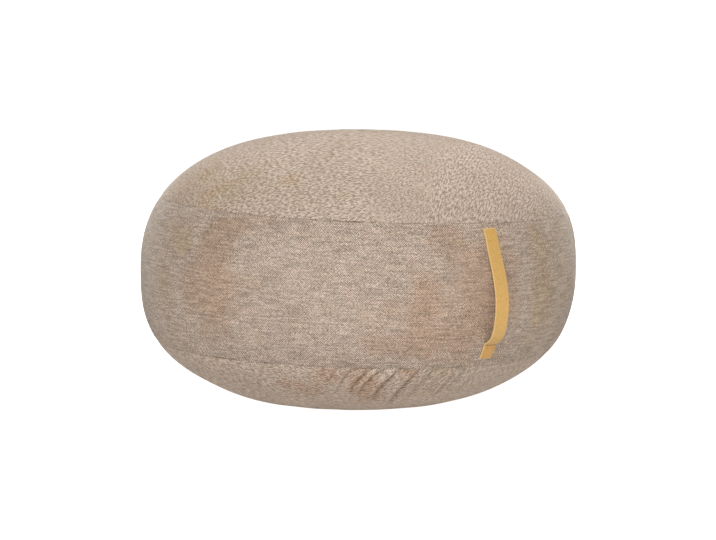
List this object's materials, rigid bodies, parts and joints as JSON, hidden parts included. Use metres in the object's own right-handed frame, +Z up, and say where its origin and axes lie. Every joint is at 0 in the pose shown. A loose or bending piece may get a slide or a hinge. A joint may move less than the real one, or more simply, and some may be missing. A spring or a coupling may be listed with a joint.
{
  "type": "round floor pouf",
  "caption": "Round floor pouf in herringbone cloth with a crowned top, a bulging side band, a drawn-in base and a leather strip handle sewn down one side; a low seat or footrest.",
  "frame": {"origin": "the middle of the round base, on the floor", "axes": "+Z up; the front faces -Y; the handle is sewn on the side band at 37 degrees from the front towards +X"},
  "size_m": [0.5996, 0.5998, 0.372],
  "materials": {
    "herringbone_cloth": "matt beige and taupe herringbone weave with slubs",
    "strap_leather": "smooth mustard tan leather, raw pale edges"
  },
  "bodies": {
    "root": {"filled_cushion": "herringbone_cloth", "top_panel": "herringbone_cloth", "base_panel": "herringbone_cloth", "handle_strap": "strap_leather"}
  },
  "joints": []
}
